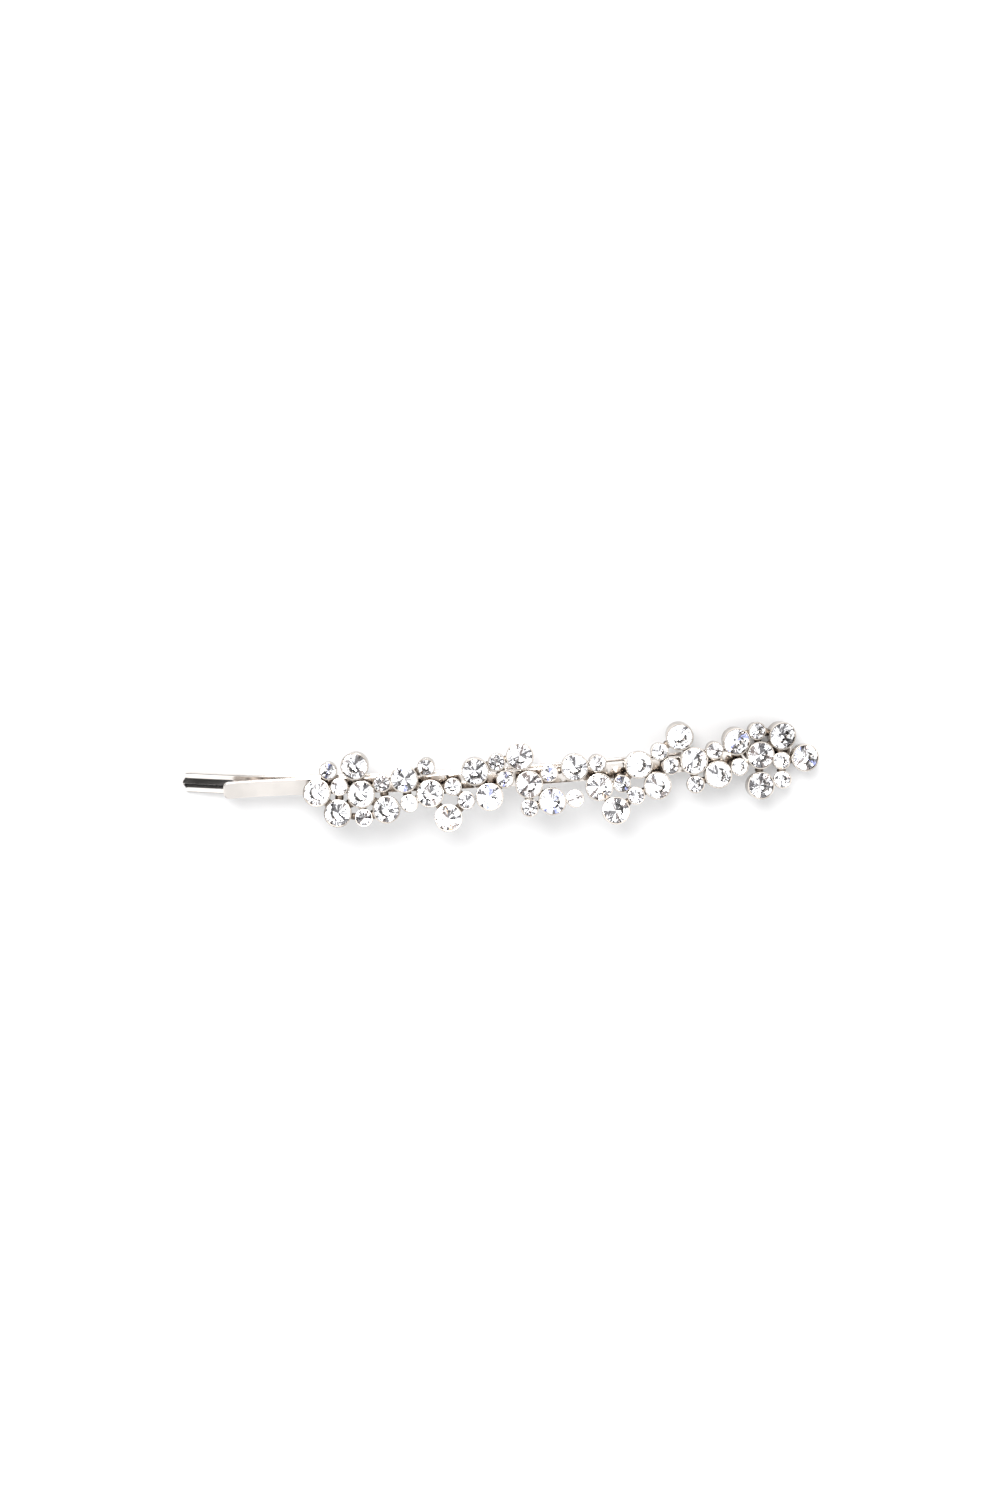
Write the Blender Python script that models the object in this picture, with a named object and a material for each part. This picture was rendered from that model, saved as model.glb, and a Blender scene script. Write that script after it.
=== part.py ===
"""Rhinestone hair clip: a folded spring-steel pin with soldered stone cups on its front leg.

Metres, +Z up. The clip lies on its back leg on the plane Z = 0, with the stones up,
the free tips at -X and the fold at +X. The origin is the bottom centre of the whole clip.
"""

import math

import bpy
from mathutils import Matrix, Vector

MM = 0.001

# --- driving dimensions, in millimetres -------------------------------------------------------

# Pin
STRIP_THICKNESS = 0.45
LONG_LEG_WIDTH = 2.2
SHORT_LEG_WIDTH = 1.85
TIP_OVERHANG = 34.4         # from the clip's middle to the long leg's tip
SHORT_TIP_OVERHANG = 30.2   # from the clip's middle to the short leg's tip
FOLD_REACH = 30.2           # from the clip's middle to the centre of the fold
ARCH_RISE = 3.3             # how far the middle stands above the line through the two ends
LONG_TIP_DROP = 1.3         # how far the long leg's tip bends away from the arch
SHORT_TIP_LIFT = 1.2        # how far the short leg's tip bends away from the arch
PINCH_FROM_TIP = 8.2        # from the short leg's tip to where the legs meet
PINCH_GAP = 0.05
HAIR_GAP = 0.5              # the widest space between the legs, at the fold
TIP_BEAD_LENGTH = 5.6       # pressed bead along the middle of the long leg's tip
TIP_BEAD_WIDTH = 0.9
TIP_BEAD_HEIGHT = 0.2
TIP_ROUNDING = 0.5
STRIP_EDGE = 0.08           # flattened corners of the strip's section
SPLIT_GAP = 0.03            # between the fold and each leg, where the one strip is split

# Cups and stones, large and small
CLUSTER_LENGTH = 55.2
CLUSTER_WIDTH = 7.6
CLUSTER_OVERHANG = 2.6      # how far the last cup reaches past the fold
LARGE_CUP_DIAMETER = 3.0
SMALL_CUP_DIAMETER = 1.94
CUP_WALL = 0.09
CUP_TAPER = 0.9             # base diameter over rim diameter
SEAT_FLOOR = 0.42           # metal below the stone's point
RIM_ABOVE_GIRDLE = 0.12
STONE_CLEARANCE = 0.03
GIRDLE_HEIGHT = 0.06
PAVILION_DEPTH = 0.4        # of the stone's diameter
CROWN_HEIGHT = 0.17         # of the stone's diameter
TABLE_WIDTH = 0.56          # of the stone's diameter
CUP_SPACING = 0.03          # least space between neighbouring cups
SOLDER_GAP = 0.05           # between a cup's base and the leg
SOLDER_RADIUS = 0.14
SOLDER_HEIGHT = 0.2         # from a cup's base to the middle of its solder bridges
CLUSTER_ROLL = 13.0         # degrees that the whole cluster is soldered round the leg's edge
LEAN_TO_MIDDLE = 1.5        # degrees of inward lean for each millimetre from the middle line
LEAN_SPREAD = 3.0           # degrees of uneven lean from cup to cup

SIDES = 12
LEG_STATIONS = 26
FOLD_STATIONS = 8
SOLDER_SIDES = 6

# Cup layout from the free end to the fold: size, then place along and across the cluster, in steps
# that the cluster's length and width set. A list within the list is one soldered setting.
LAYOUT_HALF_LENGTH = 27.6
LAYOUT_HALF_WIDTH = 3.8
LAYOUT = [
    [("L", -25.9, -0.5), ("S", -24.7, 1.9), ("L", -21.7, 2.3), ("S", -23.5, 0.0), ("L", -21.3, -0.6),
     ("L", -23.8, -2.7), ("S", -21.2, -3.2), ("L", -18.6, -2.4), ("S", -19.0, 0.3)],
    [("L", -16.8, 0.7), ("S", -14.2, 2.0), ("S", -16.2, -1.9), ("L", -14.0, -1.0), ("S", -11.5, -0.3),
     ("L", -12.2, -3.7), ("S", -10.1, -1.9)],
    [("L", -9.0, 1.3), ("L", -7.7, -1.6), ("S", -6.8, 2.0), ("S", -6.0, 0.2), ("L", -4.2, 2.5)],
    [("L", -3.4, -0.7), ("S", -3.5, -2.9), ("S", -1.2, 0.4), ("L", -1.1, -2.5), ("L", 1.5, 1.0),
     ("S", 1.4, -2.5)],
    [("S", 3.9, 1.2), ("L", 4.1, -1.4), ("L", 5.6, -4.1), ("S", 6.6, -1.4), ("S", 7.8, -2.5),
     ("L", 8.3, 0.5), ("L", 10.1, -1.6)],
    [("S", 10.7, 1.7), ("S", 11.7, 0.2), ("L", 12.9, 3.3), ("L", 14.3, 0.3), ("S", 14.3, -2.0),
     ("S", 16.6, 1.3), ("L", 16.5, -1.0), ("S", 19.1, -0.7)],
    [("L", 18.8, 2.2), ("S", 20.9, 2.8), ("L", 21.6, 0.3), ("L", 23.5, 2.1), ("S", 23.6, -0.6),
     ("L", 25.8, -0.4), ("L", 21.1, -2.9), ("S", 23.6, -2.6)],
]

# --- derived dimensions -----------------------------------------------------------------------

BOW_RADIUS = (HAIR_GAP + STRIP_THICKNESS) / 2     # of the strip's middle line around the fold
PINCH_X = -SHORT_TIP_OVERHANG + PINCH_FROM_TIP
LAYOUT_STEP = CLUSTER_LENGTH / 2 / LAYOUT_HALF_LENGTH
LAYOUT_STEP_ACROSS = CLUSTER_WIDTH / 2 / LAYOUT_HALF_WIDTH
FOLD_END = FOLD_REACH + BOW_RADIUS + STRIP_THICKNESS / 2
CLUSTER_MIDDLE = FOLD_END + CLUSTER_OVERHANG - CLUSTER_LENGTH / 2


def clear_scene():
    for obj in list(bpy.data.objects):
        bpy.data.objects.remove(obj, do_unlink=True)


def material(name, color, roughness, metallic, transmission=0.0):
    mat = bpy.data.materials.new(name)
    mat.use_nodes = True
    shader = mat.node_tree.nodes["Principled BSDF"]
    shader.inputs["Base Color"].default_value = (*color, 1.0)
    shader.inputs["Roughness"].default_value = roughness
    shader.inputs["Metallic"].default_value = metallic
    shader.inputs["Transmission Weight"].default_value = transmission
    mat.diffuse_color = (*color, 1.0)
    return mat


def make_object(name, vertices, faces, mat, smooth=None):
    """A mesh object from vertices in millimetres."""
    mesh = bpy.data.meshes.new(name)
    mesh.from_pydata([Vector(v) * MM for v in vertices], [], faces)
    mesh.materials.append(mat)
    if smooth is not None:
        mesh.shade_smooth()
        mesh.set_sharp_from_angle(angle=math.radians(smooth))
    obj = bpy.data.objects.new(name, mesh)
    bpy.context.collection.objects.link(obj)
    return obj


# --- the pin ----------------------------------------------------------------------------------

def arch_height(x):
    """Height of the line between the legs above the line through the ends of the arch."""
    span = (TIP_OVERHANG + FOLD_REACH) / 2
    middle = (FOLD_REACH - TIP_OVERHANG) / 2
    return ARCH_RISE * (1.0 - ((x - middle) / span) ** 2)


def base_line(x):
    """The arch's end line, tilted so that the bent tip and the fold both stand on Z = 0."""
    at_fold = BOW_RADIUS + STRIP_THICKNESS / 2
    at_tip = LONG_TIP_DROP + STRIP_THICKNESS
    along = (FOLD_REACH - x) / (FOLD_REACH + TIP_OVERHANG)
    return at_fold + (at_tip - at_fold) * along


def half_gap(x):
    """Half of the space between the legs: open at the fold, pinched shut near the tips."""
    closed = PINCH_GAP / 2
    along = (x - PINCH_X) / (FOLD_REACH - PINCH_X)
    return closed + (HAIR_GAP / 2 - closed) * max(0.0, along)


def tip_bend(x, amount, tip_x):
    """A smooth bend away from the arch, from nothing at the pinch to the full amount at a tip."""
    along = max(0.0, (PINCH_X - x) / (PINCH_X - tip_x))
    return amount * along ** 1.6


def long_leg_middle(x):
    surface = base_line(x) + arch_height(x) - half_gap(x) - tip_bend(x, LONG_TIP_DROP, -TIP_OVERHANG)
    return Vector((x, 0.0, surface - STRIP_THICKNESS / 2))


def short_leg_middle(x):
    surface = base_line(x) + arch_height(x) + half_gap(x) + tip_bend(x, SHORT_TIP_LIFT, -SHORT_TIP_OVERHANG)
    return Vector((x, 0.0, surface + STRIP_THICKNESS / 2))


def short_leg_top(x):
    return short_leg_middle(x).z + STRIP_THICKNESS / 2


def section(middle, along, width, bead=0.0):
    """One ring of the strip, with a bead of a given height pressed up along its middle."""
    normal = Vector((-along.z, 0.0, along.x)).normalized()
    half, thick, edge, foot = width / 2, STRIP_THICKNESS / 2, STRIP_EDGE, TIP_BEAD_WIDTH / 2
    ring = [(-half + edge, -thick), (-foot, -thick), (0.0, -thick + bead), (foot, -thick), (half - edge, -thick),
            (half, -thick + edge), (half, thick - edge),
            (half - edge, thick), (foot, thick), (0.0, thick + bead), (-foot, thick), (-half + edge, thick),
            (-half, thick - edge), (-half, -thick + edge)]
    return [middle + Vector((0.0, y, 0.0)) + normal * z for y, z in ring]


def sweep(name, rings, mat):
    """A closed strip through a row of rings, each run around the direction of travel."""
    count = len(rings[0])
    vertices = [point for ring in rings for point in ring]
    faces = [tuple(reversed(range(count)))]
    for i in range(len(rings) - 1):
        for j in range(count):
            k = (j + 1) % count
            faces.append((i * count + j, i * count + k, (i + 1) * count + k, (i + 1) * count + j))
    last = (len(rings) - 1) * count
    faces.append(tuple(range(last, last + count)))
    return make_object(name, vertices, faces, mat, smooth=40)


def leg_direction(middle_of, x):
    step = 0.01
    return (middle_of(x + step) - middle_of(x - step)).normalized()


def rounded_tip_width(distance, width):
    """Width of a leg at a distance from the end of its rounded tip."""
    if distance >= TIP_ROUNDING:
        return width
    inset = TIP_ROUNDING - math.sqrt(TIP_ROUNDING ** 2 - (TIP_ROUNDING - distance) ** 2)
    return width - 2 * inset


def leg(name, middle_of, tip_x, width, mat, bead_length=0.0):
    distances = [TIP_ROUNDING * share for share in (0.02, 0.15, 0.45, 1.0)]
    if bead_length:
        distances += [bead_length * 0.5, bead_length, bead_length + TIP_BEAD_HEIGHT]
    start = distances[-1]
    length = FOLD_REACH - tip_x
    distances += [start + (length - start) * (i + 1) / LEG_STATIONS for i in range(LEG_STATIONS)]
    rings = []
    for distance in distances:
        x = tip_x + distance
        bead = TIP_BEAD_HEIGHT if bead_length and distance <= bead_length else 0.0
        ring_width = rounded_tip_width(distance, width)
        rings.append(section(middle_of(x), leg_direction(middle_of, x), ring_width, bead))
    return sweep(name, rings, mat)


def bow(mat):
    """The fold: a half turn from the end of the long leg up to the end of the short leg."""
    low, high = long_leg_middle(FOLD_REACH), short_leg_middle(FOLD_REACH)
    centre, radius = (low + high) / 2, (high.z - low.z) / 2
    low_way, high_way = leg_direction(long_leg_middle, FOLD_REACH), leg_direction(short_leg_middle, FOLD_REACH)
    low_angle = math.atan2(low_way.z, low_way.x)
    high_angle = math.atan2(high_way.z, high_way.x) + math.pi
    shift = (low_way + high_way).normalized() * SPLIT_GAP
    rings = []
    for i in range(FOLD_STATIONS + 1):
        along = i / FOLD_STATIONS
        turn = math.pi * (along - 0.5)
        middle = centre + Vector((math.cos(turn), 0.0, math.sin(turn))) * radius + shift
        angle = low_angle + (high_angle - low_angle) * along
        width = LONG_LEG_WIDTH + (SHORT_LEG_WIDTH - LONG_LEG_WIDTH) * along
        rings.append(section(middle, Vector((math.cos(angle), 0.0, math.sin(angle))), width))
    return sweep("bow", rings, mat)


# --- cups and stones --------------------------------------------------------------------------

class Stone:
    """One stone with its cup: sizes, place and lean."""

    def __init__(self, size, along, across, setting, index):
        self.large = size == "L"
        self.setting = setting
        self.cup_radius = (LARGE_CUP_DIAMETER if self.large else SMALL_CUP_DIAMETER) / 2
        self.inner_radius = self.cup_radius - CUP_WALL
        self.radius = self.inner_radius - STONE_CLEARANCE
        self.point = SEAT_FLOOR + STONE_CLEARANCE
        self.girdle = self.point + PAVILION_DEPTH * 2 * self.radius
        self.rim = self.girdle + GIRDLE_HEIGHT + RIM_ABOVE_GIRDLE
        self.x = CLUSTER_MIDDLE + along * LAYOUT_STEP
        self.y = across * LAYOUT_STEP_ACROSS
        self.uneven = (math.sin(index * 2.4), math.cos(index * 4.1))

    def square(self):
        """Square to the cluster's own plane: up from the arch, rolled round the leg's edge."""
        slope = leg_direction(short_leg_middle, min(self.x, FOLD_REACH))
        roll = math.tan(math.radians(CLUSTER_ROLL))
        return Vector((-slope.z / slope.x, roll, 1.0)).normalized()

    def axis(self):
        """Up along the cup: square to the cluster, leaning to its middle line, and a little uneven."""
        square = self.square()
        lean_x = math.atan2(square.x, square.z) + math.radians(LEAN_SPREAD * self.uneven[0])
        lean_y = math.atan2(square.y, square.z) + math.radians(-LEAN_TO_MIDDLE * self.y
                                                               + LEAN_SPREAD * self.uneven[1])
        return Vector((math.tan(lean_x), math.tan(lean_y), 1.0)).normalized()

    def base(self):
        """Middle of the cup's base: on the cluster's plane, which clears the leg's edge, and high
        enough that no side of the base dips below that plane."""
        tilt = self.axis().angle(self.square())
        lift = SOLDER_GAP + self.cup_radius * CUP_TAPER * math.sin(tilt)
        drop = (self.y - SHORT_LEG_WIDTH / 2) * math.tan(math.radians(CLUSTER_ROLL))
        return Vector((self.x, self.y, short_leg_top(min(self.x, FOLD_REACH)) + lift - drop))

    def at(self, height):
        return self.base() + self.axis() * height

    def frame(self):
        return Matrix.Translation(self.base()) @ self.axis().to_track_quat("Z", "Y").to_matrix().to_4x4()

    def width_at(self, height):
        return self.cup_radius * (CUP_TAPER + (1.0 - CUP_TAPER) * height / self.rim)


def spread(stones):
    """Push cups apart until every pair keeps the least space at its base and at its rim."""
    for _ in range(400):
        moved = False
        for i, a in enumerate(stones):
            for b in stones[i + 1:]:
                if abs(a.x - b.x) > LARGE_CUP_DIAMETER + 1 or abs(a.y - b.y) > LARGE_CUP_DIAMETER + 1:
                    continue
                for height in (0.0, min(a.rim, b.rim)):
                    apart = b.at(height) - a.at(height)
                    apart.z = 0.0
                    need = a.width_at(height) + b.width_at(height) + CUP_SPACING - apart.length
                    if need > 0.0:
                        push = apart.normalized() * (need / 2 + 0.002)
                        a.x -= push.x
                        a.y -= push.y
                        b.x += push.x
                        b.y += push.y
                        moved = True
        if not moved:
            return


def turned(profile, frame):
    """Vertices and faces of a closed turned shape; a profile point with no radius is a pole."""
    vertices, rings = [], []
    for radius, height in profile:
        if radius == 0.0:
            rings.append([len(vertices)])
            vertices.append(frame @ Vector((0.0, 0.0, height)))
            continue
        rings.append(list(range(len(vertices), len(vertices) + SIDES)))
        for i in range(SIDES):
            angle = 2 * math.pi * i / SIDES
            vertices.append(frame @ Vector((radius * math.cos(angle), radius * math.sin(angle), height)))
    faces = []
    for low, high in zip(rings, rings[1:]):
        for i in range(SIDES):
            j = (i + 1) % SIDES
            if len(low) == 1:
                faces.append((low[0], high[j], high[i]))
            elif len(high) == 1:
                faces.append((low[i], low[j], high[0]))
            else:
                faces.append((low[i], low[j], high[j], high[i]))
    return vertices, faces


def cup_shape(stone):
    """Base, tapered wall, rim, and the conical seat down to below the stone's point."""
    seat = SEAT_FLOOR + PAVILION_DEPTH * 2 * stone.inner_radius
    profile = [(0.0, 0.0), (stone.cup_radius * CUP_TAPER, 0.0), (stone.cup_radius, stone.rim),
               (stone.inner_radius, stone.rim), (stone.inner_radius, seat), (0.0, SEAT_FLOOR)]
    return turned(profile, stone.frame())


def stone_shape(stone):
    """Pavilion, girdle, crown and flat table."""
    top = stone.girdle + GIRDLE_HEIGHT
    table = top + CROWN_HEIGHT * 2 * stone.radius
    profile = [(0.0, stone.point), (stone.radius, stone.girdle), (stone.radius, top),
               (stone.radius * TABLE_WIDTH, table)]
    vertices, faces = turned(profile, stone.frame())
    faces.append(tuple(range(len(vertices) - SIDES, len(vertices))))
    return vertices, faces


def solder_shape(a, b):
    """A solder bridge from the foot of one cup to the foot of another."""
    start, end = a.at(SOLDER_HEIGHT), b.at(SOLDER_HEIGHT)
    frame = Matrix.Translation(start) @ (end - start).to_track_quat("Z", "Y").to_matrix().to_4x4()
    length = (end - start).length
    vertices, faces = [], []
    for height in (0.0, length):
        for i in range(SOLDER_SIDES):
            angle = 2 * math.pi * (i + 0.5) / SOLDER_SIDES
            ring = Vector((SOLDER_RADIUS * math.cos(angle), SOLDER_RADIUS * math.sin(angle), height))
            vertices.append(frame @ ring)
    faces.append(tuple(reversed(range(SOLDER_SIDES))))
    faces.append(tuple(range(SOLDER_SIDES, 2 * SOLDER_SIDES)))
    for i in range(SOLDER_SIDES):
        j = (i + 1) % SOLDER_SIDES
        faces.append((i, j, SOLDER_SIDES + j, SOLDER_SIDES + i))
    return vertices, faces


def solder_pairs(cups):
    """The shortest set of bridges that ties a setting's cups into one piece."""
    tied, pairs = [cups[0]], []
    loose = cups[1:]
    while loose:
        a, b = min(((t, f) for t in tied for f in loose),
                   key=lambda pair: (pair[0].at(SOLDER_HEIGHT) - pair[1].at(SOLDER_HEIGHT)).length)
        pairs.append((a, b))
        tied.append(b)
        loose.remove(b)
    return pairs


def setting(name, cups, mat):
    """One soldered setting: its cups and bridges joined by a union."""
    vertices, faces = cup_shape(cups[0])
    obj = make_object(name, vertices, faces, mat, smooth=30)
    parts = bpy.data.collections.new(name + "_parts")
    bpy.context.scene.collection.children.link(parts)
    shapes = [cup_shape(cup) for cup in cups[1:]] + [solder_shape(a, b) for a, b in solder_pairs(cups)]
    for i, (vertices, faces) in enumerate(shapes):
        guide = make_object(f"{name}_part_{i}", vertices, faces, mat)
        bpy.context.collection.objects.unlink(guide)
        parts.objects.link(guide)
        guide.hide_render = True
        guide.display_type = "WIRE"
    union = obj.modifiers.new("solder", "BOOLEAN")
    union.operation = "UNION"
    union.operand_type = "COLLECTION"
    union.collection = parts
    union.solver = "EXACT"
    return obj


def stand_on_origin():
    """Move the whole clip so that the bottom centre of its box is the origin."""
    meshes = [obj.data for obj in bpy.data.objects]
    points = [vertex.co for mesh in meshes for vertex in mesh.vertices]
    low = Vector([min(point[i] for point in points) for i in range(3)])
    high = Vector([max(point[i] for point in points) for i in range(3)])
    shift = Vector((-(low.x + high.x) / 2, -(low.y + high.y) / 2, -low.z))
    for mesh in meshes:
        mesh.transform(Matrix.Translation(shift))


def main():
    clear_scene()
    steel = material("polished_steel", (0.78, 0.77, 0.75), 0.18, 1.0)
    plate = material("plated_cup", (0.74, 0.73, 0.71), 0.25, 1.0)
    glass = material("clear_stone", (0.94, 0.95, 0.97), 0.02, 0.0, 1.0)

    leg("long_leg", long_leg_middle, -TIP_OVERHANG, LONG_LEG_WIDTH, steel, TIP_BEAD_LENGTH)
    leg("short_leg", short_leg_middle, -SHORT_TIP_OVERHANG, SHORT_LEG_WIDTH, steel)
    bow(steel)

    stones = []
    for number, cups in enumerate(LAYOUT, start=1):
        for size, along, across in cups:
            stones.append(Stone(size, along, across, number, len(stones)))
    spread(stones)

    for number in range(1, len(LAYOUT) + 1):
        setting(f"stone_setting_{number}", [s for s in stones if s.setting == number], plate)
    counts = {True: 0, False: 0}
    for stone in stones:
        counts[stone.large] += 1
        name = "large_stone" if stone.large else "small_stone"
        vertices, faces = stone_shape(stone)
        make_object(f"{name}_{counts[stone.large]:02d}", vertices, faces, glass)
    stand_on_origin()


main()
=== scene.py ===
"""Looks for the rhinestone hair clip: cut stones in soldered cups on a folded sprung strip.

Everything is in metres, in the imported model's own frame. Each piece starts from the place and
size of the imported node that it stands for.
"""

import functools
import math
import random

import bmesh
import bpy
import numpy as np
from bpy.props import FloatProperty, FloatVectorProperty, IntProperty, PointerProperty
from mathutils import Matrix, Vector


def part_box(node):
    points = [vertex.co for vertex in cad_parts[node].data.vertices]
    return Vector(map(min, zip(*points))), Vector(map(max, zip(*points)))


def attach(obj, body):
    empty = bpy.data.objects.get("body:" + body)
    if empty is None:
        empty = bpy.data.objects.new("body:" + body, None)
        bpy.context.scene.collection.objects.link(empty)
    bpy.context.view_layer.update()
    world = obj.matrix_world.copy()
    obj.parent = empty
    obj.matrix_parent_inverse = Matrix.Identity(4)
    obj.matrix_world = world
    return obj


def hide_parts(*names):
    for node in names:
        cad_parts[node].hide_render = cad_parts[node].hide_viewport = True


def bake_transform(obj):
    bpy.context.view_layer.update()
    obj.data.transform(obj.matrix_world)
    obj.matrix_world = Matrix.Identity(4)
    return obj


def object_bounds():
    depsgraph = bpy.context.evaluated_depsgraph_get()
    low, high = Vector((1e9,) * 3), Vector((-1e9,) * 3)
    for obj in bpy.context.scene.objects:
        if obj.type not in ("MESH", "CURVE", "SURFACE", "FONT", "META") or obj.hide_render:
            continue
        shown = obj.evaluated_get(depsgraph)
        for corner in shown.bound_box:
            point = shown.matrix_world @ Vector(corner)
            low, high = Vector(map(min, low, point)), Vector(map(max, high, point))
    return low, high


bl_info = {
    "name": "Rhinestone Hair Clip",
    "version": (1, 0, 0),
    "blender": (4, 5, 0),
    "location": "View3D > Sidebar > Hair Clip",
    "description": "Builds the pin, the soldered cups, the cut stones and the stage of a hair clip",
    "category": "Add Mesh",
}

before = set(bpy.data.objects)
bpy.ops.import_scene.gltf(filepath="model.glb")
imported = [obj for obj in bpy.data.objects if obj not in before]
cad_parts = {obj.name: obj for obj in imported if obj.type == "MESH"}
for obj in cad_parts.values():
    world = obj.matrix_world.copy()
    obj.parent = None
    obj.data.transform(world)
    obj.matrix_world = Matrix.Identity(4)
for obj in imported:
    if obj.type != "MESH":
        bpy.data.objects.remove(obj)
CAD_BOX = [list(corner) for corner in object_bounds()]
MM = 0.001
FRONT, BACK = "front_leg", "back_leg"
SETTINGS = sorted(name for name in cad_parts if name.startswith("stone_setting"))
STONES = sorted(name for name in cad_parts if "_stone_" in name)


# --- sizes and colours ------------------------------------------------------------------------

class PinLook(bpy.types.PropertyGroup):
    crown: FloatProperty(name="Crown", description="How far the strip's faces bulge at their middle",
                         default=0.03 * MM, unit="LENGTH")
    bead_length: FloatProperty(name="Bead length", default=5.6 * MM, unit="LENGTH",
                               description="Length of the bead pressed into the long tip")
    bead_width: FloatProperty(name="Bead width", description="Width of that bead",
                              default=1.3 * MM, unit="LENGTH")
    bead_height: FloatProperty(name="Bead height", description="Height of that bead",
                               default=0.24 * MM, unit="LENGTH")
    nose: FloatProperty(name="Nose", description="How far the bead reaches past the long tip's corners",
                        default=0.25 * MM, unit="LENGTH")
    edge: FloatProperty(name="Edge rounding", description="Radius along the strip's long edges",
                        default=0.09 * MM, unit="LENGTH")
    nose_fade: FloatProperty(name="Nose fade", description="How far back from the tip the nose is drawn out",
                             default=1.0 * MM, unit="LENGTH")
    long_tip: FloatProperty(name="Back tip rounding", description="Radius of the back leg's tip corners",
                            default=0.25 * MM, unit="LENGTH")
    short_tip: FloatProperty(name="Front tip rounding", description="Radius of the front leg's tip corners",
                             default=0.6 * MM, unit="LENGTH")
    steps: IntProperty(name="Steps", description="Cuts along each leg", default=150)
    bow_steps: IntProperty(name="Fold steps", description="Cuts round the fold", default=36)
    color: FloatVectorProperty(name="Steel", description="Colour of the polished strip", subtype="COLOR",
                               default=(0.87, 0.825, 0.785))


class CupLook(bpy.types.PropertyGroup):
    wall: FloatProperty(name="Wall", description="Metal around the stone's girdle, with its clearance",
                        default=0.12 * MM, unit="LENGTH")
    floor: FloatProperty(name="Floor", description="From the cup's base to the stone's point",
                         default=0.45 * MM, unit="LENGTH")
    lip: FloatProperty(name="Lip", description="How far the rim stands above the girdle",
                       default=0.1 * MM, unit="LENGTH")
    taper: FloatProperty(name="Taper", description="Base width over rim width", default=0.9)
    sides: IntProperty(name="Sides", description="Steps around a cup", default=40)
    color: FloatVectorProperty(name="Plating", description="Colour of the plated cups", subtype="COLOR",
                               default=(0.88, 0.83, 0.77))
    solder: FloatVectorProperty(name="Solder", description="Colour of the solder", subtype="COLOR",
                                default=(0.27, 0.22, 0.18))


class StoneLook(bpy.types.PropertyGroup):
    table: FloatProperty(name="Table", description="Table width over stone width", default=0.56)
    bend: FloatProperty(name="Half facets", description="How much steeper the crown's half facets are cut",
                        default=math.radians(4.0), unit="ROTATION")
    back_bend: FloatProperty(name="Back half facets", default=math.radians(0.45), unit="ROTATION",
                             description="How much steeper the back's half facets are cut")
    index: FloatProperty(name="Index", description="Refraction index of the glass", default=1.62)
    foil: FloatVectorProperty(name="Foil", description="Colour of the mirrored back", subtype="COLOR",
                              default=(0.97, 0.97, 0.98))


class StageLook(bpy.types.PropertyGroup):
    tilt: FloatProperty(name="View tilt", description="Angle of the view from straight above",
                        default=math.radians(18.5), unit="ROTATION")
    roll: FloatProperty(name="View roll", description="How far the clip rises to the right",
                        default=math.radians(3.1), unit="ROTATION")
    distance: FloatProperty(name="Distance", description="From the camera to the clip",
                            default=1.2, unit="LENGTH")
    width: FloatProperty(name="View width", description="Width of the view at the clip",
                         default=107.1 * MM, unit="LENGTH")
    aim_x: FloatProperty(name="Aim along", description="What the camera aims at, along the pin",
                         default=-0.145 * MM, unit="LENGTH")
    aim_up: FloatProperty(name="Aim above", default=3.03 * MM, unit="LENGTH",
                          description="What the camera aims at, above the clip in the view")
    dome: FloatProperty(name="Dome", description="Brightness of the white tent", default=1.6)
    key: FloatProperty(name="Key", description="Strength of the key light", default=2.2)


def looks():
    """The settings of the pin, the cups and the stones."""
    return bpy.context.scene.clip_pin, bpy.context.scene.clip_cups, bpy.context.scene.clip_stones


# --- shader maths -----------------------------------------------------------------------------

class Signal:
    """A shader socket that can be used in plain arithmetic."""

    def __init__(self, net, socket):
        self.net, self.socket = net, socket

    def math(self, operation, *others):
        return self.net.node("ShaderNodeMath", {"operation": operation}, [self, *others])

    def __add__(self, other):
        return self.math("ADD", other)

    def __mul__(self, other):
        return self.math("MULTIPLY", other)

    def __rsub__(self, other):
        return self.net.node("ShaderNodeMath", {"operation": "SUBTRACT"}, [other, self])

    __radd__ = __add__
    __rmul__ = __mul__

    def smooth(self, low, high):
        """0 below low, 1 above high and a smooth ramp between them."""
        settings = {"interpolation_type": "SMOOTHSTEP"}
        sockets = {"Value": self, "From Min": low, "From Max": high}
        return self.net.node("ShaderNodeMapRange", settings, sockets)


class Net:
    """The node tree of a material or of the world."""

    def __init__(self, owner):
        owner.use_nodes = True
        self.tree = owner.node_tree
        self.tree.nodes.clear()

    def node(self, kind, settings=None, sockets=None, output=0):
        made = self.tree.nodes.new(kind)
        for name, value in (settings or {}).items():
            setattr(made, name, value)
        pairs = enumerate(sockets) if isinstance(sockets, list) else (sockets or {}).items()
        for name, value in pairs:
            if isinstance(value, Signal):
                self.tree.links.new(value.socket, made.inputs[name])
            else:
                made.inputs[name].default_value = value
        return Signal(self, made.outputs[output]) if made.outputs else None

    def mix_color(self, factor, low, high):
        sockets = {0: factor, 6: low, 7: high}
        return self.node("ShaderNodeMix", {"data_type": "RGBA"}, sockets, output=2)

    def place(self, scale):
        """The piece's own coordinates, stretched by a scale along each axis."""
        coordinates = self.node("ShaderNodeTexCoord", output=3)
        return self.node("ShaderNodeMapping", {}, {"Vector": coordinates, "Scale": scale})

    def noise(self, scale, detail=3.0, stretch=(1, 1, 1)):
        sockets = {"Vector": self.place(stretch), "Scale": scale, "Detail": detail}
        return self.node("ShaderNodeTexNoise", {}, sockets)


def rgba(color):
    return (*color, 1.0)


def material(name):
    made = bpy.data.materials.get(name) or bpy.data.materials.new(name)
    return made, Net(made)


def surface(net, sockets):
    shader = net.node("ShaderNodeBsdfPrincipled", {}, sockets)
    net.node("ShaderNodeOutputMaterial", {}, {"Surface": shader})


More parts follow.
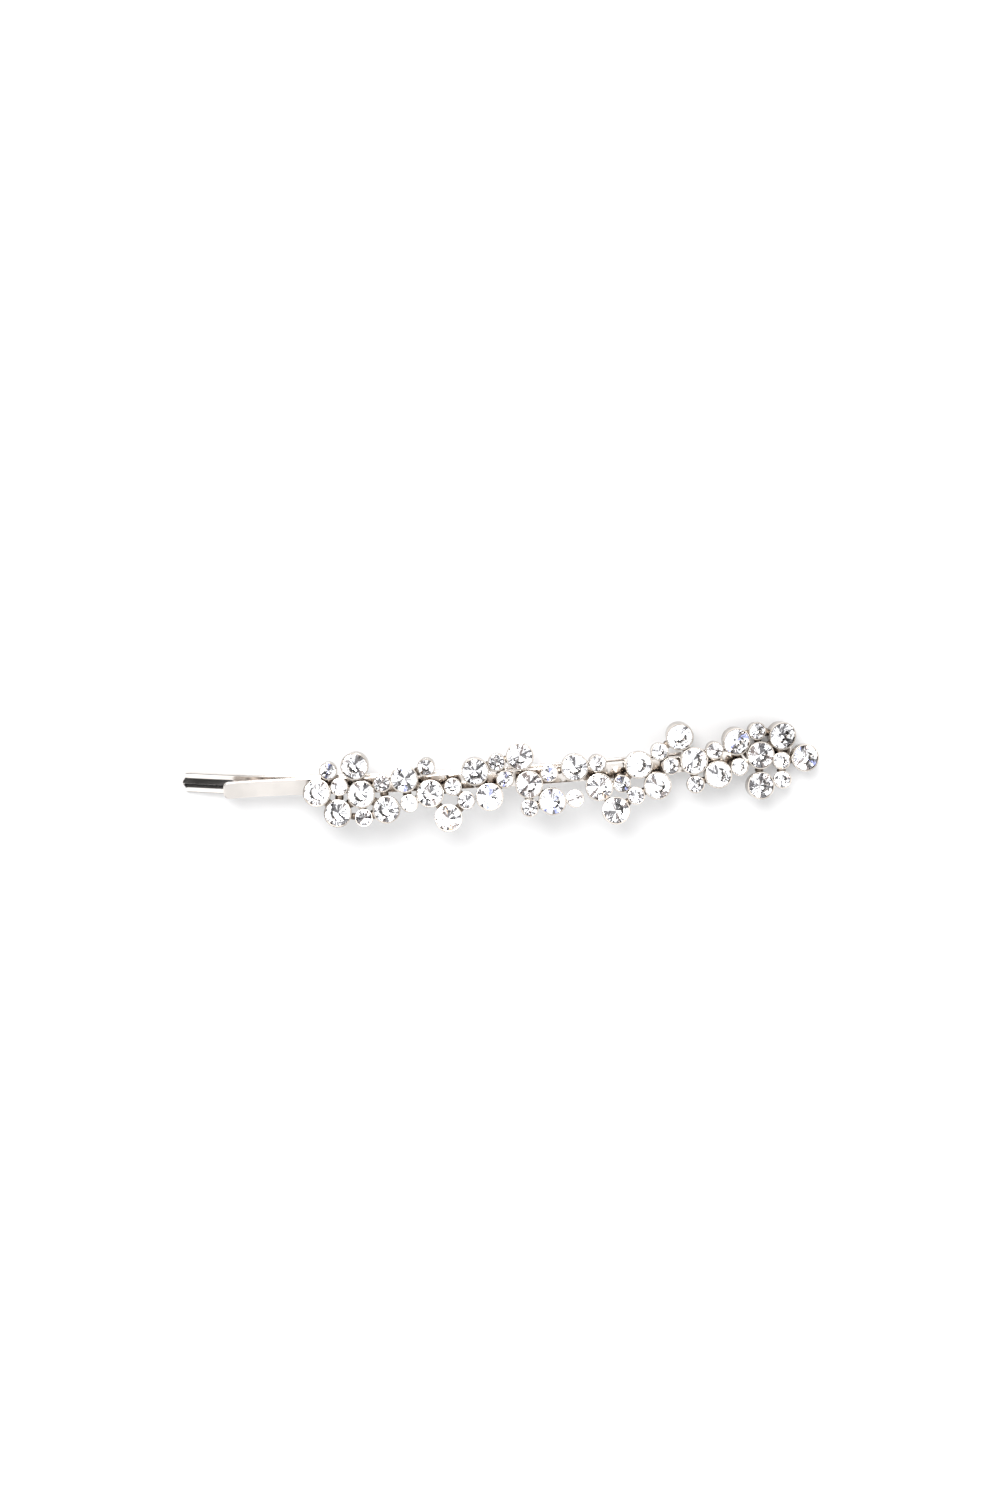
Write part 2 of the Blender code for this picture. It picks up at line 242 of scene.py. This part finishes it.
def steel_material(color):
    """Polished strip: hair-fine scratches along its length and faint smudges."""
    made, net = material("polished_steel")
    scratches = net.noise(900.0, 5.0, (0.05, 1.0, 1.0))
    smudges = net.noise(260.0, 2.0)
    darker = tuple(part * 0.86 for part in color)
    tint = net.mix_color(smudges.smooth(0.35, 0.75), rgba(color), rgba(darker))
    relief = net.node("ShaderNodeBump", {}, {"Strength": 0.12, "Distance": 0.00002, "Height": scratches})
    surface(net, {"Base Color": tint, "Metallic": 1.0, "Normal": relief,
                  "Roughness": scratches * 0.12 + smudges * 0.1 + 0.03})
    return made


def plating_material(color):
    """Bright plated cups: soft spots of wear, a fine grain from stamping, and painted shade inside and down
    the walls.
    """
    made, net = material("plated_cup")
    grain = net.noise(2600.0, 3.0)
    wear = net.noise(420.0, 4.0)
    worn = tuple(part * 0.62 for part in color)
    tint = net.mix_color(wear.smooth(0.48, 0.72), rgba(color), rgba(worn))
    grime = net.node("ShaderNodeAttribute", {"attribute_name": "grime"}, output=2)
    # Painted shade: a dark brown mixed in where the cup meets the stone and further down the outer wall.
    tint = net.mix_color(grime, tint, (0.17, 0.13, 0.10, 1.0))
    relief = net.node("ShaderNodeBump", {}, {"Strength": 0.15, "Distance": 0.00002, "Height": grain})
    surface(net, {"Base Color": tint, "Metallic": 1.0, "Normal": relief,
                  "Roughness": grain * 0.14 + wear * 0.16 + 0.02})
    return made


def solder_material(color):
    """Solder: lumpy, duller and browner than the plating."""
    made, net = material("solder")
    lumps = net.noise(1500.0, 5.0)
    burnt = tuple(part * 0.3 for part in color)
    tint = net.mix_color(lumps.smooth(0.42, 0.66), rgba(color), rgba(burnt))
    relief = net.node("ShaderNodeBump", {}, {"Strength": 0.6, "Distance": 0.00006, "Height": lumps})
    surface(net, {"Base Color": tint, "Metallic": 1.0, "Normal": relief, "Roughness": lumps * 0.3 + 0.2})
    return made


def glass_material(index):
    """The cut glass of a stone's crown."""
    made, net = material("stone_glass")
    surface(net, {"Base Color": (0.99, 0.995, 1.0, 1.0), "Roughness": 0.0, "IOR": index,
                  "Transmission Weight": 1.0})
    return made


def foil_material():
    """The mirrored back of a stone; each facet's colour carries a painted reflection: mostly clear, some
    dark, a few fire-coloured.
    """
    made, net = material("stone_foil")
    shade = net.node("ShaderNodeAttribute", {"attribute_name": "facet_color"})
    surface(net, {"Base Color": shade, "Metallic": 1.0, "Roughness": 0.02})
    return made


# --- mesh helpers -----------------------------------------------------------------------------

def finish_mesh(bm, name, materials, smooth=None):
    """Turn a bmesh into an object at the origin, flat shaded unless a smoothing angle is given."""
    mesh = bpy.data.meshes.new(name)
    bm.to_mesh(mesh)
    bm.free()
    for made in materials:
        mesh.materials.append(made)
    if smooth is not None:
        mesh.shade_smooth()
        mesh.set_sharp_from_angle(angle=math.radians(smooth))
    obj = bpy.data.objects.new(name, mesh)
    bpy.context.scene.collection.objects.link(obj)
    return obj


@functools.lru_cache(maxsize=None)
def node_points(name):
    """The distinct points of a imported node's mesh."""
    points = np.array([vertex.co[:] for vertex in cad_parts[name].data.vertices])
    return np.unique(np.round(points, 8), axis=0)


# --- the pin ----------------------------------------------------------------------------------

# A packed leg's middle line: how level its flats are at least, the share of its width at the middle
# that may be the bead and is left out, and how the line is sampled and smoothed.
LEVEL_FACE, BEAD_SHARE = 0.8, 0.3
LINE_STATIONS, LINE_DEGREE = 60, 9
# A strip is cut lengthwise in steps of 1/36 of its width, 14 each way, which stays off its round edges.
ACROSS, ACROSS_EACH_WAY = 36, 14
# Degrees beyond which an edge stays sharp.
STRIP_CREASE, CUP_CREASE = 35, 30


@functools.lru_cache(maxsize=None)
def leg_line(name):
    """The middle line of a packed leg, as its height over X, and its thickness."""
    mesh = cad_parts[name].data
    low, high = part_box(name)
    sides = {1: {}, -1: {}}
    for face in mesh.polygons:
        if abs(face.normal.z) < LEVEL_FACE:
            continue
        side = 1 if face.normal.z > 0 else -1
        for index in face.vertices:
            point = mesh.vertices[index].co
            if abs(point.y - (low[1] + high[1]) / 2) > (high[1] - low[1]) * BEAD_SHARE:
                sides[side][round(point.x, 6)] = point.z
    lines = []
    for side in (1, -1):
        along = sorted(sides[side])
        lines.append((np.array(along), np.array([sides[side][x] for x in along])))
    (top_x, top_z), (low_x, low_z) = lines
    stations = np.linspace(min(top_x[0], low_x[0]), max(top_x[-1], low_x[-1]), LINE_STATIONS)
    top, low = np.interp(stations, top_x, top_z), np.interp(stations, low_x, low_z)
    middle = (top + low) / 2
    fit = np.polynomial.Polynomial.fit(stations, middle, LINE_DEGREE)
    thickness = float(np.median(top - low))
    return fit, thickness


def strip_blank(length, width, thickness, steps, edge, tip):
    """A straight flat strip from 0 to length along X, its long edges rounded, and its tip if asked."""
    bm = bmesh.new()
    bmesh.ops.create_cube(bm, size=1.0)
    bmesh.ops.scale(bm, vec=(length, width, thickness), verts=bm.verts)
    bmesh.ops.translate(bm, vec=(length / 2, 0, 0), verts=bm.verts)
    if tip:
        corners = [e for e in bm.edges if all(v.co.x < 1e-9 for v in e.verts)
                   and abs(e.verts[0].co.y - e.verts[1].co.y) < 1e-9]
        bmesh.ops.bevel(bm, geom=corners, offset=tip, segments=8, profile=0.5, affect="EDGES", material=-1)
    rims = [e for e in bm.edges if abs(e.verts[0].co.z - e.verts[1].co.z) < 1e-9
            and not all(abs(v.co.x - length) < 1e-9 for v in e.verts)
            and (tip or not all(v.co.x < 1e-9 for v in e.verts))]
    bmesh.ops.bevel(bm, geom=rims, offset=edge, segments=3, profile=0.5, affect="EDGES", material=-1)
    for i in range(1, steps):
        cut_at(bm, (length * i / steps, 0, 0), (1, 0, 0))
    for i in range(-ACROSS_EACH_WAY, ACROSS_EACH_WAY + 1):
        cut_at(bm, (0, width * i / ACROSS, 0), (0, 1, 0))
    return bm


def cut_at(bm, point, normal):
    geometry = bm.verts[:] + bm.edges[:] + bm.faces[:]
    bmesh.ops.bisect_plane(bm, geom=geometry, dist=1e-8, plane_co=point, plane_no=normal)


def crowned(point, width, crown, thickness):
    """Height in the strip's section, with both faces bulged at their middle."""
    bulge = crown * (1.0 - (2 * point.y / width) ** 2)
    return point.z + bulge * (2 * point.z / thickness)


def bead_rise(point, pin):
    """Height of the pressed bead at a point of the long leg: steepest beside its crest."""
    across = min(1.0, abs(2 * point.y / pin.bead_width))
    along = min(max((point.x - pin.bead_length) / pin.bead_height, 0.0), 1.0)
    return pin.bead_height * (1.0 - across) ** 1.7 * (1.0 - along)


def make_leg(name, body, beaded):
    pin, _, _ = looks()
    low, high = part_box(name)
    fit, thickness = leg_line(name)
    slope = fit.deriv()
    length, width = high[0] - low[0], high[1] - low[1]
    middle_y = (low[1] + high[1]) / 2
    thickness -= 2 * pin.crown
    bm = strip_blank(length, width, thickness, pin.steps, pin.edge, pin.long_tip if beaded else pin.short_tip)
    for vert in bm.verts:
        z = crowned(vert.co, width, pin.crown, thickness)
        x = low[0] + vert.co.x
        if beaded:
            rise = bead_rise(vert.co, pin)
            z += rise
            held_back = 1.0 - min(1.0, 2 * rise / pin.bead_height)
            x += pin.nose * held_back * max(0.0, 1.0 - vert.co.x / pin.nose_fade)
        angle = math.atan(float(slope(x)))
        height = float(fit(x)) + z * math.cos(angle)
        vert.co = Vector((x - z * math.sin(angle), middle_y + vert.co.y, height))
    piece = finish_mesh(bm, name + "_strip", [steel_material(pin.color)], smooth=STRIP_CREASE)
    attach(piece, body)
    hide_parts(name)


def make_bow():
    pin, _, _ = looks()
    line_low, thickness = leg_line("long_leg")
    line_high, _ = leg_line("short_leg")
    start_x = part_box("long_leg")[1][0]
    low_z, high_z = float(line_low(start_x)), float(line_high(start_x))
    low_way = math.atan(float(line_low.deriv()(start_x)))
    high_way = math.atan(float(line_high.deriv()(start_x))) + math.pi
    low_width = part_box("long_leg")[1][1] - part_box("long_leg")[0][1]
    high_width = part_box("short_leg")[1][1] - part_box("short_leg")[0][1]
    middle_y = (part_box("long_leg")[0][1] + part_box("long_leg")[1][1]) / 2
    radius = (high_z - low_z) / 2
    centre = Vector((start_x, middle_y, (high_z + low_z) / 2))
    thickness -= 2 * pin.crown
    length = math.pi * radius
    bm = strip_blank(length, low_width, thickness, pin.bow_steps, pin.edge, 0)
    for vert in bm.verts:
        share = vert.co.x / length
        z = crowned(vert.co, low_width, pin.crown, thickness)
        turn = math.pi * (share - 0.5)
        way = low_way + (high_way - low_way) * share
        width = 1.0 + (high_width / low_width - 1.0) * share
        middle = centre + Vector((math.cos(turn), 0, math.sin(turn))) * radius
        vert.co = middle + Vector((-math.sin(way) * z, vert.co.y * width, math.cos(way) * z))
    bmesh.ops.recalc_face_normals(bm, faces=bm.faces)
    piece = finish_mesh(bm, "bow_strip", [steel_material(pin.color)], smooth=STRIP_CREASE)
    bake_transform(piece)
    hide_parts("bow")


class CLIP_OT_pin(bpy.types.Operator):
    """Make the folded strip: the back leg, the front leg and the fold that joins them"""

    bl_idname = "clip.make_pin"
    bl_label = "Make Pin"

    def execute(self, context):
        make_leg("long_leg", BACK, beaded=True)
        make_leg("short_leg", FRONT, beaded=False)
        make_bow()
        return {"FINISHED"}


# --- stones -----------------------------------------------------------------------------------

# Packed stones: points this close in height are one flat, so they are the table and not the point, and
# points beyond this share of the radius are the girdle.
SAME_HEIGHT, GIRDLE_SHARE = 0.01 * MM, 0.98
# Star facets: their slope over the mains' slope, and their reach over the table's.
STAR_SLOPE, STAR_REACH = 0.55, 0.92
# Painted reflections on the back facets: clear, two dark tints for dark surroundings and two fire tints, and
# how often each pair's first tint is used.
CLEAR = (1.0, 1.0, 1.0)
CHARCOAL_REFLECTION, UMBER_REFLECTION, CHARCOAL_REFLECTION_SHARE = (0.15, 0.145, 0.15), (0.27, 0.23, 0.215), 0.75
VIOLET_FIRE, PEACH_FIRE, VIOLET_FIRE_SHARE = (0.46, 0.51, 0.92), (1.0, 0.72, 0.5), 0.7
# Chance that a facet gets a painted dark reflection, how fast that grows on the +Y side, and the chance of a
# painted fleck of fire on the -Y side.
INNER_DARK, OUTER_DARK = 0.05, 0.14
FAR_DARK, FAR_SIDE = 0.45, 0.45
FIRE, FIRE_SIDE = 0.06, -0.6


class Seat:
    """Place and size of one packed stone: its frame has the point at the origin and Z up its axis."""

    def __init__(self, name):
        self.name = name
        points = node_points(name)
        middle = points.mean(axis=0)
        axis = np.linalg.eigh(np.cov((points - middle).T))[1][:, 0]
        heights = (points - middle) @ axis
        if np.sum(heights < heights.min() + SAME_HEIGHT) > 1:
            axis = -axis
        lowest = points[((points - middle) @ axis).argmin()]
        self.axis = Vector(axis)
        self.point = Vector(lowest)
        offsets = points - lowest
        heights = offsets @ axis
        spans = np.linalg.norm(offsets - np.outer(heights, axis), axis=1)
        rim = spans > spans.max() * GIRDLE_SHARE
        self.radius = float(spans.max())
        self.girdle_low, self.girdle_high = float(heights[rim].min()), float(heights[rim].max())
        self.top = float(heights.max())
        turn = Matrix.Rotation(random.Random(name).uniform(0, math.tau), 4, "Z")
        square = self.axis.to_track_quat("Z", "Y").to_matrix().to_4x4()
        self.frame = Matrix.Translation(self.point) @ square @ turn


def cut_facet(bm, height, radius, slope, azimuth):
    """Grind one facet through the point at a height and radius, facing out at a slope from level."""
    out = Vector((math.cos(azimuth), math.sin(azimuth), 0.0))
    normal = out * math.sin(slope) + Vector((0, 0, math.cos(slope)))
    geometry = bm.verts[:] + bm.edges[:] + bm.faces[:]
    point = out * radius + Vector((0, 0, height))
    cut = bmesh.ops.bisect_plane(bm, geom=geometry, dist=1e-9, plane_co=point, plane_no=normal,
                                 clear_outer=True)
    rim = [e for e in cut["geom_cut"] if isinstance(e, bmesh.types.BMEdge)]
    if rim:
        bmesh.ops.edgeloop_fill(bm, edges=rim)


def cut_stone(seat, look):
    """Cut one stone from a round blank: stars, mains and halves round the table, mains and halves below."""
    bm = bmesh.new()
    bmesh.ops.create_cone(bm, cap_ends=True, segments=32, radius1=seat.radius, radius2=seat.radius,
                          depth=seat.top)
    bmesh.ops.translate(bm, vec=(0, 0, seat.top / 2), verts=bm.verts)
    table = seat.radius * look.table
    crown = math.atan2(seat.top - seat.girdle_high, seat.radius - table)
    back = math.atan2(seat.girdle_low, seat.radius)
    eighth = math.tau / 8
    for i in range(8):
        cut_facet(bm, seat.girdle_high, seat.radius, crown, i * eighth)
        cut_facet(bm, seat.girdle_low, seat.radius, math.pi - back, i * eighth)
    star = crown * STAR_SLOPE
    for i in range(8):
        cut_facet(bm, seat.top, table * STAR_REACH, star, (i + 0.5) * eighth)
    for i in range(16):
        azimuth = (i + 0.5) * eighth / 2
        cut_facet(bm, seat.girdle_high, seat.radius, crown + look.bend, azimuth)
        cut_facet(bm, seat.girdle_low, seat.radius, math.pi - back - look.back_bend, azimuth)
    return bm


def facet_color(draw, inner, toward_y):
    """The painted reflection on one facet of the mirrored back: inner facets run to the point, and
    toward_y is 1 for those on the clip's +Y side and -1 opposite."""
    pick = draw.random()
    dark = INNER_DARK if inner else OUTER_DARK + FAR_DARK * max(0.0, toward_y - FAR_SIDE)
    if pick < dark:
        return CHARCOAL_REFLECTION if draw.random() < CHARCOAL_REFLECTION_SHARE else UMBER_REFLECTION
    if not inner and toward_y < FIRE_SIDE and pick < dark + FIRE:
        return VIOLET_FIRE if draw.random() < VIOLET_FIRE_SHARE else PEACH_FIRE
    return CLEAR


def make_stone(seat):
    _, _, look = looks()
    bm = cut_stone(seat, look)
    layer = bm.loops.layers.float_color.new("facet_color")
    draw = random.Random(seat.name + "facets")
    upward = seat.frame.to_3x3().inverted() @ Vector((0, 1, 0))
    for face in bm.faces:
        middle = face.calc_center_median()
        mirrored = middle.z < (seat.girdle_low + seat.girdle_high) / 2 + 1e-7
        face.material_index = 1 if mirrored else 0
        shade = CLEAR
        # Back facets get a painted reflection: dark ones more often on the +Y side, fire-coloured flecks on
        # the -Y side.
        if middle.z < seat.girdle_low - 1e-7:
            out = Vector((middle.x, middle.y, 0)).normalized()
            shade = facet_color(draw, middle.z < seat.girdle_low * 0.5, out.dot(upward))
        color = tuple(a * b for a, b in zip(shade, look.foil))
        for loop in face.loops:
            loop[layer] = (*color, 1.0)
    bmesh.ops.transform(bm, matrix=seat.frame, verts=bm.verts)
    piece = finish_mesh(bm, seat.name + "_cut", [glass_material(look.index), foil_material()])
    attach(piece, FRONT)
    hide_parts(seat.name)


class CLIP_OT_stones(bpy.types.Operator):
    """Cut every stone and drop it in its cup"""

    bl_idname = "clip.make_stones"
    bl_label = "Make Stones"

    def execute(self, context):
        for name in STONES:
            make_stone(Seat(name))
        return {"FINISHED"}


# --- cups and solder --------------------------------------------------------------------------

# Painted shade in a cup, on its rim, and how much more there is at the base.
PAINTED_SHADE_INSIDE, PAINTED_SHADE_RIM, PAINTED_SHADE_FALL = 0.85, 0.27, 0.9
# How far a packed cup's seat lies below its stone's point, and how nearly that has to hold.
SEAT_GAP, SEAT_MATCH = 0.03 * MM, 0.02 * MM
# Bridges between cups: the widest gap they cross, their level as a share of the girdle's height over the
# point, and how far they run past their ends.
BRIDGE_GAP, BRIDGE_LEVEL, BRIDGE_PAST = 0.45 * MM, 0.3, 0.2 * MM
# Pads on the leg: how far they start below its face, how far they run past their ends, and how far their
# middle stays from its edges.
PAD_SINK, PAD_PAST, PAD_INSET = 0.25 * MM, 0.06 * MM, 0.35 * MM


def cup_profile(seat, look):
    """Half section of a stamped cup: inside floor, wall, rim, outside and base. Bare numbers are shares of
    the sizes that they multiply."""
    outer = seat.radius + look.wall
    inner = seat.radius + look.wall * 0.2
    base, foot = -look.floor, outer * look.taper
    skin = look.wall * 0.7
    top = seat.girdle_high + look.lip
    hollow = [(0, base + skin), (foot * 0.55, base + skin), (inner * 0.9, seat.girdle_low * 0.55),
              (inner, seat.girdle_low * 0.9), (inner, seat.girdle_high)]
    rim = [(seat.radius * 0.965, top - look.lip * 0.25), (seat.radius * 0.972, top),
           (inner + skin * 0.25, top + look.lip * 0.12), (outer - skin * 0.35, top),
           (outer, top - look.lip * 0.8)]
    outside = [(outer * 0.99, seat.girdle_low * 0.7), (foot * 1.02, base + skin),
               (foot * 0.97, base + skin * 0.3), (foot * 0.86, base), (0, base)]
    return hollow + rim + outside


def spun_cup(seat, look):
    bm = bmesh.new()
    points = [bm.verts.new((radius, 0, height)) for radius, height in cup_profile(seat, look)]
    edges = [bm.edges.new(pair) for pair in zip(points, points[1:])]
    bmesh.ops.spin(bm, geom=points + edges, cent=(0, 0, 0), axis=(0, 0, 1), angle=math.tau,
                   steps=look.sides, use_merge=True)
    bmesh.ops.remove_doubles(bm, verts=bm.verts, dist=1e-7)
    bmesh.ops.recalc_face_normals(bm, faces=bm.faces)
    # Painted shade per point: a thin dark ring where the rim meets the stone, growing darker down the outer
    # wall towards the base.
    layer = bm.verts.layers.float.new("grime")
    top = seat.girdle_high + look.lip
    for vert in bm.verts:
        depth = (top - vert.co.z) / (top + look.floor)
        hidden = math.hypot(vert.co.x, vert.co.y) < seat.radius
        vert[layer] = PAINTED_SHADE_INSIDE if hidden else min(1.0, PAINTED_SHADE_RIM + depth * PAINTED_SHADE_FALL)
    bmesh.ops.transform(bm, matrix=seat.frame, verts=bm.verts)
    return bm


def solder_bead(start, end, upward, wide, high, past, draw):
    """A lumpy bead of solder between two points, so wide and so high, and so far past both of them."""
    bm = bmesh.new()
    bmesh.ops.create_icosphere(bm, subdivisions=3, radius=1.0)
    for vert in bm.verts:
        vert.co *= 1.0 + 0.12 * math.sin(vert.co.x * 5 + draw.random()) * math.cos(vert.co.y * 6)
    along = (end - start).normalized()
    side = upward.cross(along).normalized()
    bmesh.ops.scale(bm, vec=(wide, high, (end - start).length / 2 + past), verts=bm.verts)
    turn = Matrix((side, along.cross(side), along)).transposed().to_4x4()
    bmesh.ops.transform(bm, matrix=Matrix.Translation((start + end) / 2) @ turn, verts=bm.verts)
    return bm


def merge(target, source, slot):
    """Add one bmesh to another, with its faces in a material slot."""
    mesh = bpy.data.meshes.new("part")
    for face in source.faces:
        face.material_index = slot
    source.to_mesh(mesh)
    source.free()
    target.from_mesh(mesh)
    bpy.data.meshes.remove(mesh)


def seats_of(setting, seats):
    """The stones whose cups belong to one packed setting."""
    points = node_points(setting)
    own = []
    for seat in seats:
        nearest = np.linalg.norm(points - np.array(seat.point - seat.axis * SEAT_GAP), axis=1).min()
        if nearest < SEAT_MATCH:
            own.append(seat)
    return own


def leg_top(x):
    """Height of the front leg's upper face."""
    fit, thickness = leg_line("short_leg")
    return float(fit(x)) + thickness / 2


def make_setting(name, seats):
    _, look, _ = looks()
    own = seats_of(name, seats)
    draw = random.Random(name)
    bm = bmesh.new()
    for seat in own:
        merge(bm, spun_cup(seat, look), 0)
    for i, a in enumerate(own):
        for b in own[i + 1:]:
            gap = (a.point - b.point).length - a.radius - b.radius - 2 * look.wall
            if gap < BRIDGE_GAP:
                level = min(a.girdle_low, b.girdle_low) * BRIDGE_LEVEL
                foot_a, foot_b = a.point + a.axis * level, b.point + b.axis * level
                way = (foot_b - foot_a).normalized()
                high = level + draw.uniform(0.05, 0.2) * MM
                start = foot_a + way * (a.radius + look.wall * 0.4)
                end = foot_b - way * (b.radius + look.wall * 0.4)
                wide = draw.uniform(0.36, 0.5) * MM
                merge(bm, solder_bead(start, end, a.axis, wide, high, BRIDGE_PAST, draw), 1)
    low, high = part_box("short_leg")
    for seat in own:
        base = seat.point - seat.axis * look.floor
        side = min(max(base.y, low[1] + PAD_INSET), high[1] - PAD_INSET)
        if abs(base.y - side) < seat.radius and low[0] < base.x < high[0]:
            foot = Vector((base.x, side, leg_top(base.x) - PAD_SINK))
            wide = seat.radius * draw.uniform(0.62, 0.78)
            deep = draw.uniform(0.4, 0.55) * MM
            merge(bm, solder_bead(foot, base, Vector((0, 1, 0)), wide, deep, PAD_PAST, draw), 1)
    finishes = [plating_material(look.color), solder_material(look.solder)]
    piece = finish_mesh(bm, name + "_cups", finishes, smooth=CUP_CREASE)
    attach(piece, FRONT)
    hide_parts(name)


class CLIP_OT_settings(bpy.types.Operator):
    """Make the cups of each setting, with the solder between them and below them"""

    bl_idname = "clip.make_settings"
    bl_label = "Make Settings"

    def execute(self, context):
        seats = [Seat(name) for name in STONES]
        for name in SETTINGS:
            make_setting(name, seats)
        return {"FINISHED"}


# --- stage ------------------------------------------------------------------------------------

def make_floor():
    made, net = material("paper_floor")
    surface(net, {"Base Color": (0.78, 0.78, 0.785, 1.0), "Roughness": 0.9})
    bm = bmesh.new()
    bmesh.ops.create_grid(bm, x_segments=1, y_segments=1, size=1.5)
    floor = finish_mesh(bm, "floor", [made])


# Direction from the clip, half angle in degrees, softness in degrees, and how dark.
DARK_CARDS = (
    ((-0.58, 0.42, 0.7), 19.0, 8.0, 0.98),
    ((-0.47, -0.83, 0.3), 17.0, 5.0, 0.96),
    ((-0.1, -0.4, 0.9), 14.0, 24.0, 0.32),
    ((0.55, -0.2, 0.81), 8.0, 3.0, 0.92),
)
# Heights over which the tent brightens, and its light below them.
HORIZON, HORIZON_LIGHT = (0.04, 0.42), 0.1
# Towards the key light, and how many degrees wide it is.
KEY_DIRECTION, KEY_SIZE = (-0.15, 0.75, 1.0), 28.0


def make_world(look):
    """A white tent with a few dark cards, darker near the horizon."""
    world = bpy.context.scene.world or bpy.data.worlds.new("tent")
    bpy.context.scene.world = world
    net = Net(world)
    way = net.node("ShaderNodeTexCoord", output=0)
    level = net.node("ShaderNodeSeparateXYZ", {}, {"Vector": way}, output=2)
    light = level.smooth(*HORIZON) * (1.0 - HORIZON_LIGHT) + HORIZON_LIGHT
    for direction, half, soft, dark in DARK_CARDS:
        aim = Vector(direction).normalized()
        facing = net.node("ShaderNodeVectorMath", {"operation": "DOT_PRODUCT"}, {0: way, 1: aim}, output=1)
        card = facing.smooth(math.cos(math.radians(half + soft)), math.cos(math.radians(half)))
        light = light * (1.0 - card * dark)
    white = (1.0, 1.0, 1.0, 1.0)
    glow = net.node("ShaderNodeBackground", {}, {"Color": white, "Strength": light * look.dome})
    net.node("ShaderNodeOutputWorld", {}, {"Surface": glow})


def make_key(look):
    sun = bpy.data.lights.new("key", "SUN")
    sun.energy, sun.angle = look.key, math.radians(KEY_SIZE)
    holder = bpy.data.objects.new("key", sun)
    bpy.context.scene.collection.objects.link(holder)
    holder.rotation_euler = Vector(KEY_DIRECTION).to_track_quat("Z", "Y").to_euler()


def make_camera(look):
    camera = bpy.data.cameras.new("camera")
    camera.sensor_fit, camera.sensor_width = "HORIZONTAL", 36.0
    camera.lens = camera.sensor_width * look.distance / look.width
    camera.clip_start, camera.clip_end = 0.01, 10.0
    holder = bpy.data.objects.new("camera", camera)
    bpy.context.scene.collection.objects.link(holder)
    toward = Vector((0, math.sin(look.tilt), math.cos(look.tilt)))
    level, upward = Vector((1, 0, 0)), Vector((0, math.cos(look.tilt), -math.sin(look.tilt)))
    right = level * math.cos(look.roll) - upward * math.sin(look.roll)
    up = level * math.sin(look.roll) + upward * math.cos(look.roll)
    low, high = Vector(CAD_BOX[0]), Vector(CAD_BOX[1])
    middle = (low + high) / 2
    aim = middle + right * look.aim_x + up * look.aim_up
    turn = Matrix((right, up, toward)).transposed().to_4x4()
    holder.matrix_world = Matrix.Translation(aim + toward * look.distance) @ turn
    bpy.context.scene.camera = holder


class CLIP_OT_stage(bpy.types.Operator):
    """Make the floor, the white tent, the key light and the camera"""

    bl_idname = "clip.make_stage"
    bl_label = "Make Stage"

    def execute(self, context):
        look = context.scene.clip_stage
        make_floor()
        make_world(look)
        make_key(look)
        make_camera(look)
        context.scene.view_settings.view_transform = "Standard"
        return {"FINISHED"}


# --- add-on -----------------------------------------------------------------------------------

class CLIP_PT_panel(bpy.types.Panel):
    """Lists the clip's steps in the sidebar"""

    bl_idname = "CLIP_PT_panel"
    bl_label = "Hair Clip"
    bl_space_type = "VIEW_3D"
    bl_region_type = "UI"
    bl_category = "Hair Clip"

    def draw(self, context):
        for group in GROUPS:
            box = self.layout.box()
            settings = getattr(context.scene, group)
            for name in settings.bl_rna.properties.keys():
                if name not in {"rna_type", "name"}:
                    box.prop(settings, name)
        for operator in OPERATORS:
            self.layout.operator(operator.bl_idname)


GROUPS = {"clip_pin": PinLook, "clip_cups": CupLook, "clip_stones": StoneLook, "clip_stage": StageLook}
OPERATORS = (CLIP_OT_pin, CLIP_OT_settings, CLIP_OT_stones, CLIP_OT_stage)
CLASSES = (*GROUPS.values(), *OPERATORS, CLIP_PT_panel)


def register():
    for item in CLASSES:
        bpy.utils.register_class(item)
    for name, group in GROUPS.items():
        setattr(bpy.types.Scene, name, PointerProperty(type=group))


def unregister():
    for name in GROUPS:
        delattr(bpy.types.Scene, name)
    for item in reversed(CLASSES):
        bpy.utils.unregister_class(item)


def main():
    register()
    bpy.ops.clip.make_pin()
    bpy.ops.clip.make_settings()
    bpy.ops.clip.make_stones()
    bpy.ops.clip.make_stage()


if __name__ == "__main__":
    main()
